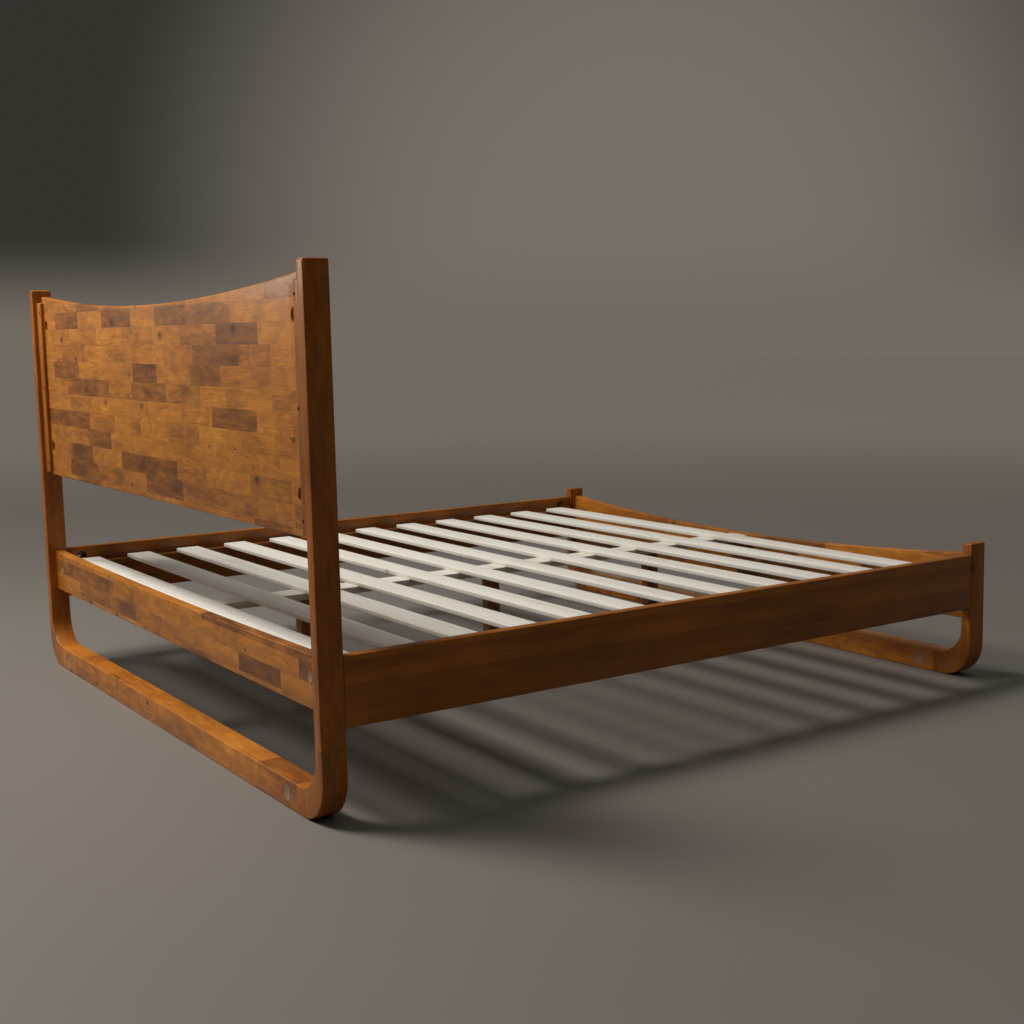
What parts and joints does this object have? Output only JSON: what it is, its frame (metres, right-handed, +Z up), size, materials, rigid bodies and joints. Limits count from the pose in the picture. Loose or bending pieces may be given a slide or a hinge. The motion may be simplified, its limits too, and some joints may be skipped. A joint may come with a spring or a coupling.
{
  "type": "sleigh bed",
  "caption": "King-size slatted bed frame on sled end frames, with a tall headboard whose top edge dips, low foot rail, flat slats and a legged centre board.",
  "frame": {"origin": "middle of the bed's footprint, on the floor", "axes": "+Z up; +Y towards the headboard; +X to the right-hand side seen from the foot"},
  "size_m": [2, 2.15, 1.2],
  "materials": {
    "amber_wood": "satin oiled, stave-jointed",
    "walnut_wood": "satin dark oil",
    "pale_wood": "matt limed",
    "cap_wood": "matt",
    "dowel_wood": "matt",
    "zinc_steel": "zinc plated"
  },
  "bodies": {
    "root": {"head_post_left": "amber_wood", "head_post_right": "amber_wood", "head_corner_left": "amber_wood", "head_corner_right": "amber_wood", "head_runner": "amber_wood", "foot_post_left": "amber_wood", "foot_post_right": "amber_wood", "foot_corner_left": "amber_wood", "foot_corner_right": "amber_wood", "foot_runner": "amber_wood", "headboard_panel": "amber_wood", "headboard_batten_left": "amber_wood", "headboard_batten_right": "amber_wood", "head_rail": "amber_wood", "foot_rail": "amber_wood", "side_rail_left": "amber_wood", "side_rail_right": "amber_wood", "slat_ledger_left": "walnut_wood", "slat_ledger_right": "walnut_wood", "beam_block_head": "walnut_wood", "beam_block_foot": "walnut_wood", "support_leg_1": "walnut_wood", "support_leg_2": "walnut_wood", "support_leg_3": "walnut_wood", "slat_01": "pale_wood", "slat_02": "pale_wood", "slat_03": "pale_wood", "slat_04": "pale_wood", "slat_05": "pale_wood", "slat_06": "pale_wood", "slat_07": "pale_wood", "slat_08": "pale_wood", "slat_09": "pale_wood", "slat_10": "pale_wood", "slat_11": "pale_wood", "slat_12": "pale_wood", "centre_beam": "pale_wood", "runner_caps_head": "cap_wood", "runner_caps_foot": "cap_wood", "cross_rail_caps": "cap_wood", "corner_dowels_head": "dowel_wood", "corner_dowels_foot": "dowel_wood", "rail_dowels": "dowel_wood", "panel_studs": "zinc_steel", "panel_nuts": "zinc_steel", "side_rail_studs": "zinc_steel", "side_rail_nuts": "zinc_steel", "cross_rail_studs": "zinc_steel", "cross_rail_nuts": "zinc_steel", "runner_studs": "zinc_steel", "runner_nuts": "zinc_steel", "fitting_pins": "zinc_steel", "batten_screws": "zinc_steel", "ledger_screws": "zinc_steel", "beam_screws": "zinc_steel", "leg_screws": "zinc_steel"}
  },
  "joints": []
}
